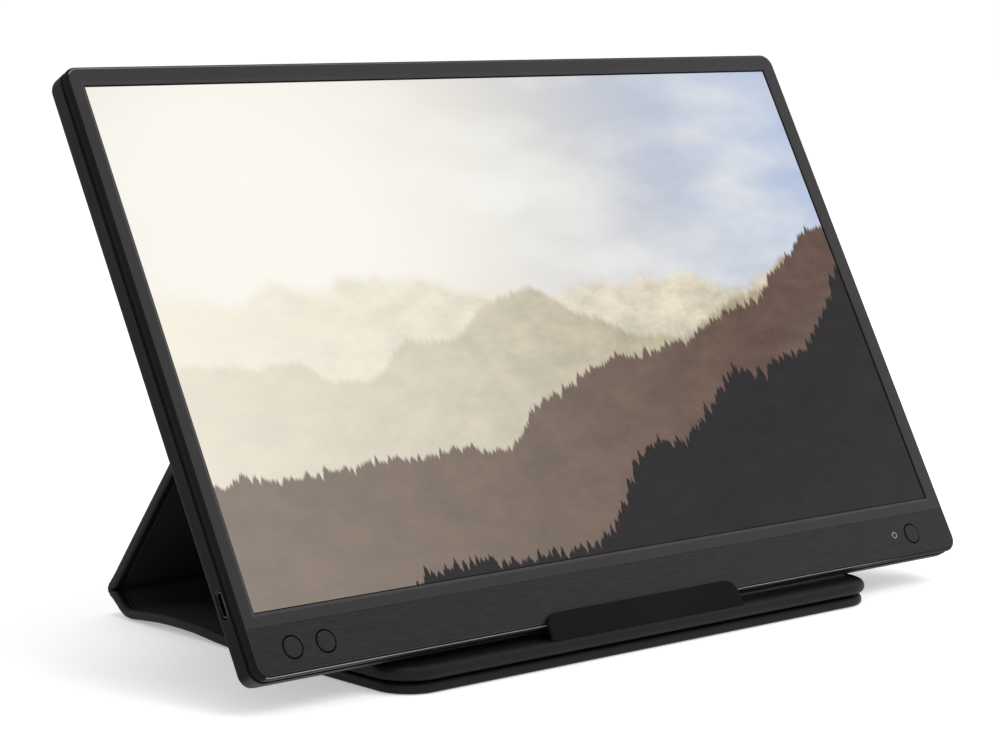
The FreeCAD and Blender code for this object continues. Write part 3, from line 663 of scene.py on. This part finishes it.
def slab(name, place, half, ends, rounds, profile, hem_row, materials):
    """Board with soft edges. place maps (x, y, height) into the part's frame."""
    edge = slab_outline(half, *ends, *rounds)
    verts = []
    faces = []
    slots = []

    def put(points, height):
        first = len(verts)
        verts.extend(place(x, y, height) for x, y in points)
        return list(range(first, len(verts)))

    def across(left):
        return [(left.x * (1 - 2 * i / COLUMNS), left.y) for i in range(1, COLUMNS)]

    def sew(first, second, slot):
        for i in range(len(first) - 1):
            faces.append((first[i], first[i + 1], second[i + 1], second[i]))
            slots.append(slot)

    def row_across(ring, index):
        middle = put(across(ring["spots"][index]), ring["height"])
        return [ring["left"][index]] + middle + [ring["right"][index]]

    rings = []
    for inset, height in profile:
        spots = [p + n * inset for p, n in edge]
        left = put([(p.x, p.y) for p in spots], height)
        right = put([(-p.x, p.y) for p in spots], height)
        ring = {"spots": spots, "left": left, "right": right, "height": height, "ends": {}}
        for index, radius in zip((0, -1), rounds):
            if radius is not None:
                ring["ends"][index] = row_across(ring, index)
        rings.append(ring)

    for row, (lower, upper) in enumerate(zip(rings, rings[1:])):
        slot = 1 if row >= hem_row else 0
        sew(lower["left"], upper["left"], slot)
        sew(lower["right"], upper["right"], slot)
        for index in lower["ends"]:
            sew(lower["ends"][index], upper["ends"][index], slot)

    for ring, slot in ((rings[0], 0), (rings[-1], 1)):
        inside = [row_across(ring, index) for index in range(1, len(edge) - 1)]
        first_row = ring["ends"].get(0) or row_across(ring, 0)
        last_row = ring["ends"].get(-1) or row_across(ring, -1)
        rows = [first_row, *inside, last_row]
        for first, second in zip(rows, rows[1:]):
            sew(first, second, slot)
    return make_object(name, verts, faces, slots, materials)


# Cover

def arch(piece):
    for vertex in piece.data.vertices:
        vertex.co = arched(vertex.co)


def make_fold(name, roll, near, far, near_end, radius, reaches, sizes, pinched, crease=0.0):
    """Soft strip round a fold, which turns within its own arc and meets the two panels at its ends."""
    stations = fold_stations(near, far, near_end, radius, reaches, sizes, pinched)
    if crease:
        stations = puckered(stations)
    strip = loft_sheet(name, stations, crease)
    if near is BASE:
        arch(strip)
    axis = near.at(0, near_end, FOLD_RADIUS)
    spread = (radius - FOLD_RADIUS) * math.sin(fold_turn(near, far) / 2)
    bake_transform(strip)
    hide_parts(roll)


def make_sheet():
    """Base leaf, spine, strut, mounting panel, and the folds between them."""
    spine_start = SPINE_LENGTH * 0.5 - SPINE_HALF_STRAIGHT
    spine_end = SPINE_LENGTH * 0.5 + SPINE_HALF_STRAIGHT
    leather = (LEATHER, LINING)

    base_front = BASE.reach("base_skin")[0]
    base = slab("base_leather", BASE.at, BASE_SIZE[0], (base_front, -STRIP_REACH),
                (BASE_CORNER, None), edge_profile(*BASE_SIZE[1:]), HEM_ROW, leather)
    arch(base)
    dress(base, "base", "cover_leather", "base_skin", "base_lining")

    spine = loft_sheet("spine_leather", straight_stations(
        SPINE, spine_start, spine_end, SHEET_SIZE, SPINE_STEPS))
    dress(spine, "spine", "cover_leather", "spine_skin", "spine_lining")

    strut = loft_sheet("strut_leather", straight_stations(
        STRUT, STRIP_REACH, STRUT_LENGTH - STRIP_REACH, SHEET_SIZE, STRUT_STEPS))
    dress(strut, "strut", "cover_leather", "strut_skin", "strut_lining")

    mount_top = MOUNT.reach("mount_skin")[1]
    mount = slab("mount_leather", lambda x, y, h: uneven(MOUNT.at(x, y, h), MOUNT.inner),
                 SHEET_SIZE[0], (STRIP_REACH, mount_top), (None, MOUNT_CORNER),
                 edge_profile(*SHEET_SIZE[1:]), HEM_ROW, leather)
    dress(mount, "monitor", "cover_leather", "mount_skin", "mount_lining")

    make_fold("base_fold_leather", "base_fold_roll", BASE, SPINE,
              near_end=0, radius=BASE_FOLD_ROUND, reaches=(STRIP_REACH, spine_start),
              sizes=(BASE_SIZE, SHEET_SIZE), pinched=BASE_FOLD_THICKNESS)
    make_fold("rear_fold_leather", "rear_fold_roll", SPINE, STRUT,
              near_end=SPINE_LENGTH, radius=REAR_FOLD_ROUND,
              reaches=(SPINE_LENGTH - spine_end, STRIP_REACH),
              sizes=(SHEET_SIZE, SHEET_SIZE), pinched=REAR_FOLD_THICKNESS, crease=REAR_CREASE)
    make_fold("top_fold_leather", "strut_fold_roll", STRUT, MOUNT,
              near_end=STRUT_LENGTH, radius=TOP_FOLD_ROUND, reaches=(STRIP_REACH, STRIP_REACH),
              sizes=(SHEET_SIZE, SHEET_SIZE), pinched=TOP_FOLD_THICKNESS)


def make_tray():
    low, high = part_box("tray_skin")
    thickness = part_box("tray_lining")[1].z - low.z
    tray = slab("tray_leather", lambda x, y, h: Vector((x, y, low.z + h)), high.x, (low.y, high.y),
                (TRAY_FRONT_CORNER, TRAY_REAR_CORNER),
                edge_profile(thickness, LEAF_HEM, LEAF_ROUND, TRAY_UNDER_ROUND),
                HEM_ROW, (LEATHER, LEATHER))
    dress(tray, "base", "cover_leather", "tray_skin", "tray_lining")


def make_lip():
    """Stop lip: a soft slab parallel to the screen that narrows a little towards its top."""
    low, high = monitor_box("lip_skin")
    places = monitor_places("lip_skin")
    centre = (low.x + high.x) / 2
    foot_half = high.x - centre
    top_half = max(p.x for p in places if p.z > high.z - LEVEL_TOLERANCE) - centre + LIP_CORNER
    tall = high.z - low.z

    def place(x, rise, depth):
        narrowed = 1 + (top_half / foot_half - 1) * (rise - low.z) / tall
        return on_monitor(centre + x * narrowed, low.y + depth, rise)

    thickness = high.y - low.y
    radius = LIP_ROUND_SHARE * thickness
    quarter = quarter_turn(LIP_STEPS)
    profile = [(LIP_FACE_INSET, 0.0)]
    profile += [(radius - radius * math.sin(a), radius - radius * math.cos(a)) for a in quarter]
    profile += [(radius - radius * math.cos(a), thickness - radius + radius * math.sin(a)) for a in quarter]
    profile.append((LIP_FACE_INSET, thickness))
    lip = slab("lip_cloth", place, foot_half, (low.z, high.z), (None, LIP_CORNER), profile, len(profile),
               (LIP_CLOTH, LIP_CLOTH))
    dress(lip, "base", "cover_leather", "lip_skin")


make_sheet()
make_tray()
make_lip()


# Monitor

def make_front_frame():
    """Front frame: satin face, rims darker as painted shade, an inner bevel paler as a painted highlight, a metal
    line along its top edge whose fade is a painted highlight, a painted highlight line along its lower edge, and
    an underside paler as a painted reflection.
    """
    mesh = nodes["front_frame"].data.copy()
    finishes = (BEZEL, BEVEL_PAINTED_HIGHLIGHT, RIM, DARK_RIM, TOP_EDGE_PAINTED_FADE, LOW_EDGE_PAINTED_HIGHLIGHT, UNDERSIDE_PAINTED_REFLECTION)
    mesh.materials.clear()
    for material in finishes:
        mesh.materials.append(material)
    low, high = monitor_box("front_frame")
    middle = (low.z + high.z) / 2

    def finish(face):
        slope = math.degrees(math.acos(max(-1.0, min(1.0, -face.normal.dot(INWARD)))))
        if slope < FACE_SLOPE:
            return BEZEL
        rise = face.center.dot(UPWARD)
        inside = min(high.x - abs(face.center.x), rise - low.z, high.z - rise) > RIM_MARGIN
        way = Vector((face.normal.x, face.normal.dot(UPWARD))).normalized().y
        # Faces round the opening get the bevel, paler as a painted highlight.
        if inside:
            return BEVEL_PAINTED_HIGHLIGHT
        # Side and corner faces get the rims, darker as painted shade.
        if -LOW_CORNER < way < TOP_CORNER:
            return RIM if slope < SIDE_RIM else DARK_RIM
        # The top line: metal that fades from left to right as a painted highlight.
        if rise > middle and way > 0 and TOP_LINE[0] < slope < TOP_LINE[1]:
            return TOP_EDGE_PAINTED_FADE
        # The lower line is a painted highlight; steeper faces get the underside, paler as a painted reflection.
        if rise < middle and way < 0 and slope > PAINTED_LOW_LINE[0]:
            return LOW_EDGE_PAINTED_HIGHLIGHT if slope < PAINTED_LOW_LINE[1] else UNDERSIDE_PAINTED_REFLECTION
        # Other edge faces get the rims, darker as painted shade.
        return RIM if rise < middle else DARK_RIM

    slots = [finishes.index(finish(face)) for face in mesh.polygons]
    mesh.polygons.foreach_set("material_index", slots)
    frame_piece = bpy.data.objects.new("front_frame_finish", mesh)
    bpy.context.scene.collection.objects.link(frame_piece)
    dress(frame_piece, "monitor", "case_plastic", "front_frame")


def make_button(node):
    """Turned button: a dished cap with a soft edge, its flange and its stem."""
    low, high = monitor_box(node)
    centre = (low + high) / 2
    rings = {}
    for p in monitor_places(node):
        radius = math.hypot(p.x - centre.x, p.z - centre.z)
        rings.setdefault(round(p.y, 6), []).append(radius)
    front, flange_front, flange_back, end = sorted(rings)
    cap, flange, stem = max(rings[front]) - CAP_SHRINK, max(rings[flange_back]), max(rings[end])
    profile = [(0, front + CAP_DISH), (cap * DISH_RADIUS_SHARE, front + CAP_DISH * DISH_DEPTH_SHARE)]
    for angle in quarter_turn(ROUND_STEPS):
        radius = cap - CAP_ROUND + CAP_ROUND * math.sin(angle)
        profile.append((radius, front + CAP_ROUND - CAP_ROUND * math.cos(angle)))
    profile += [(cap, flange_front), (flange, flange_front), (flange, flange_back), (stem, flange_back),
                (stem, end), (0, end)]
    piece = revolve(node + "_cap", profile, lambda x, rise, depth: on_monitor(
        centre.x + x, depth, centre.z + rise), CHIN)
    dress(piece, node, "button_plastic", node)


def make_power_mark():
    """Power symbol printed beside the power button: an open ring with a bar in its gap."""
    low, high = monitor_box("power_button")
    face = monitor_box("chin_trim")[0].y - MARK_LIFT
    centre_x = (low.x + high.x) / 2 - MARK_OFFSET
    centre_rise = (low.z + high.z) / 2 + MARK_RISE
    verts = []
    faces = []
    for step in range(MARK_STEPS + 1):
        angle = math.radians(MARK_START + MARK_SWEEP * step / MARK_STEPS)
        for radius in (MARK_RADIUS - MARK_STROKE / 2, MARK_RADIUS + MARK_STROKE / 2):
            verts.append(on_monitor(
                centre_x + radius * math.cos(angle), face, centre_rise + radius * math.sin(angle)))
        if step:
            last = len(verts) - 1
            faces.append((last - 3, last - 2, last, last - 1))
    bar_foot, bar_top = MARK_BAR
    for x, rise in ((-0.5, bar_foot), (0.5, bar_foot), (0.5, bar_top), (-0.5, bar_top)):
        verts.append(on_monitor(centre_x + x * MARK_STROKE, face, centre_rise + rise * MARK_RADIUS))
    last = len(verts) - 1
    faces.append((last - 3, last - 2, last - 1, last))
    mark = make_object("power_mark", verts, faces, None, (WHITE_INK,))
    dress(mark, "monitor", "reflector_film")


def assign(node, material):
    nodes[node].data.materials.clear()
    nodes[node].data.materials.append(material)


make_front_frame()
for button in ("menu_button", "source_button", "power_button"):
    make_button(button)
make_power_mark()

glass_low, glass_high = monitor_box("lcd_glass")
SCREEN = lit_screen(
    "lit_screen", glass_low + Vector((SCREEN_SIDE_MARGIN, 0, SCREEN_BOTTOM_MARGIN)),
    glass_high - Vector((SCREEN_SIDE_MARGIN, 0, SCREEN_TOP_MARGIN)))

BY_SLOT = {
    "case_plastic": CASE_WITH_PAINTED_LIGHT,
    "chin_brushed": CHIN,
    "button_plastic": CHIN,
    "screen_glass": SCREEN,
    "optical_film": grained("optical_film", (0.80, 0.82, 0.85), 0.35, 900.0),
    "light_guide_acrylic": dotted("light_guide_acrylic", (0.72, 0.80, 0.82), (0.92, 0.93, 0.93), 0.0012),
    "reflector_film": grained("reflector_film", (0.88, 0.88, 0.88), 0.3, 900.0),
    "led_strip": striped("led_strip", (0.85, 0.84, 0.80), (0.85, 0.68, 0.18), (1, 0, 0), 0.006, 0.3),
    "sheet_metal": grained("sheet_metal", (0.58, 0.59, 0.61), 0.38, 700.0, Metallic=1.0),
    "circuit_board": circuit_board("circuit_board"),
    "chip_resin": grained("chip_resin", grey(0.02), 0.5, 2500.0),
    "inductor_ferrite": grained("inductor_ferrite", grey(0.045), 0.6, 1800.0),
    "connector_plastic": grained("connector_plastic", (0.70, 0.67, 0.60), 0.45),
    "port_metal": grained("port_metal", (0.06, 0.06, 0.062), 0.3, 2000.0, 0.000005, Metallic=1.0),
    "port_tongue_plastic": striped("port_tongue", grey(0.008), (0.030, 0.024, 0.012), UPWARD, 0.0005, 0.4),
    "switch_plastic": grained("switch_plastic", grey(0.03), 0.45),
    "flat_cable": striped("flat_cable", (0.45, 0.24, 0.07), (0.60, 0.36, 0.13), (1, 0, 0), 0.0008, 0.35),
    "panel_ribbon": striped("panel_ribbon", (0.78, 0.78, 0.78), (0.62, 0.63, 0.66), UPWARD, 0.0007, 0.4),
    "screw_steel": grained("screw_steel", (0.45, 0.45, 0.47), 0.3, 1500.0, Metallic=1.0),
    "foam": grained("foam", grey(0.03), 0.9, 1600.0, 0.0001),
    "tape": grained("tape", (0.66, 0.66, 0.64), 0.7, 1200.0),
    "cover_board": grained("cover_board", (0.15, 0.14, 0.13), 0.85, 1100.0, 0.00005),
    "cover_leather": LEATHER,
    "cover_lining": LINING,
}
for subpart in frame["record"]["subparts"]:
    assign(subpart["node"], BY_SLOT[subpart["material_slot"]])


# Floor, light and camera

def seen_directly(tree):
    """One for rays that the camera, a mirror or glass sends, zero for the light itself."""
    rays = tree.nodes.new("ShaderNodeLightPath")
    seen = rays.outputs["Is Camera Ray"]
    for other in ("Is Glossy Ray", "Is Transmission Ray"):
        either = tree.nodes.new("ShaderNodeMath")
        either.operation = "MAXIMUM"
        tree.links.new(seen, either.inputs[0])
        tree.links.new(rays.outputs[other], either.inputs[1])
        seen = either.outputs[0]
    return seen


def make_floor():
    corners = ((-1, -1), (1, -1), (1, 1), (-1, 1))
    s = Shader("floor_white", Roughness=0.85, Specular_IOR_Level=0.0)
    paper = s.noise(300.0, 2.0)
    s.finish(s.mix(paper, (0.89, 0.89, 0.89, 1), (0.91, 0.91, 0.91, 1)))
    s.put(s.surface, "Emission Color", (1, 1, 1, 1))
    s.put(s.surface, "Emission Strength", s.math("MULTIPLY", seen_directly(s.tree), FLOOR_LIFT))
    verts = [Vector((x * FLOOR_SIZE, y * FLOOR_SIZE, -FLOOR_DROP)) for x, y in corners]
    floor = make_object("floor", verts, [(0, 1, 2, 3)], None, (s.material,))


def make_world(level):
    """White studio: full white where it is seen or mirrored, softer as a light."""
    world = bpy.data.worlds.new("studio")
    bpy.context.scene.world = world
    world.use_nodes = True
    tree = world.node_tree
    background = tree.nodes["Background"]
    strength = tree.nodes.new("ShaderNodeMapRange")
    strength.inputs["To Min"].default_value = level
    strength.inputs["To Max"].default_value = 1.0
    tree.links.new(seen_directly(tree), strength.inputs["Value"])
    tree.links.new(strength.outputs[0], background.inputs["Strength"])
    background.inputs["Color"].default_value = (1, 1, 1, 1)


def softbox(name, place, target, size, power, mirrored):
    lamp = bpy.data.lights.new(name, "AREA")
    lamp.shape = "RECTANGLE"
    lamp.size, lamp.size_y = size
    lamp.energy = power
    holder = bpy.data.objects.new(name, lamp)
    holder.location = place
    holder.visible_glossy = mirrored
    holder.rotation_mode = "QUATERNION"
    holder.rotation_quaternion = (Vector(target) - Vector(place)).to_track_quat("-Z", "Y")
    bpy.context.scene.collection.objects.link(holder)


def make_camera():
    azimuth, elevation = math.radians(CAMERA_AZIMUTH), math.radians(CAMERA_ELEVATION)
    level = Vector((math.sin(azimuth), math.cos(azimuth), 0)) * math.cos(elevation)
    look = level - Vector((0, 0, math.sin(elevation)))
    camera = bpy.data.cameras.new("camera")
    camera.lens = CAMERA_LENS
    camera.sensor_width = SENSOR_WIDTH
    holder = bpy.data.objects.new("camera", camera)
    holder.location = CAMERA_PLACE
    holder.rotation_mode = "QUATERNION"
    roll = Quaternion((0, 0, 1), math.radians(CAMERA_ROLL))
    holder.rotation_quaternion = look.to_track_quat("-Z", "Y") @ roll
    bpy.context.scene.collection.objects.link(holder)
    bpy.context.scene.camera = holder


make_floor()
make_world(WORLD_LIGHT)
softbox("key", place=(0.7, -1.5, 1.9), target=(0, 0, 0.1), size=(1.8, 1.4), power=26, mirrored=False)
softbox("overhead", place=(-0.1, 0.2, 1.9), target=(0, 0, 0), size=(0.5, 0.5), power=5, mirrored=True)
make_camera()
bpy.context.scene.view_settings.view_transform = "Standard"
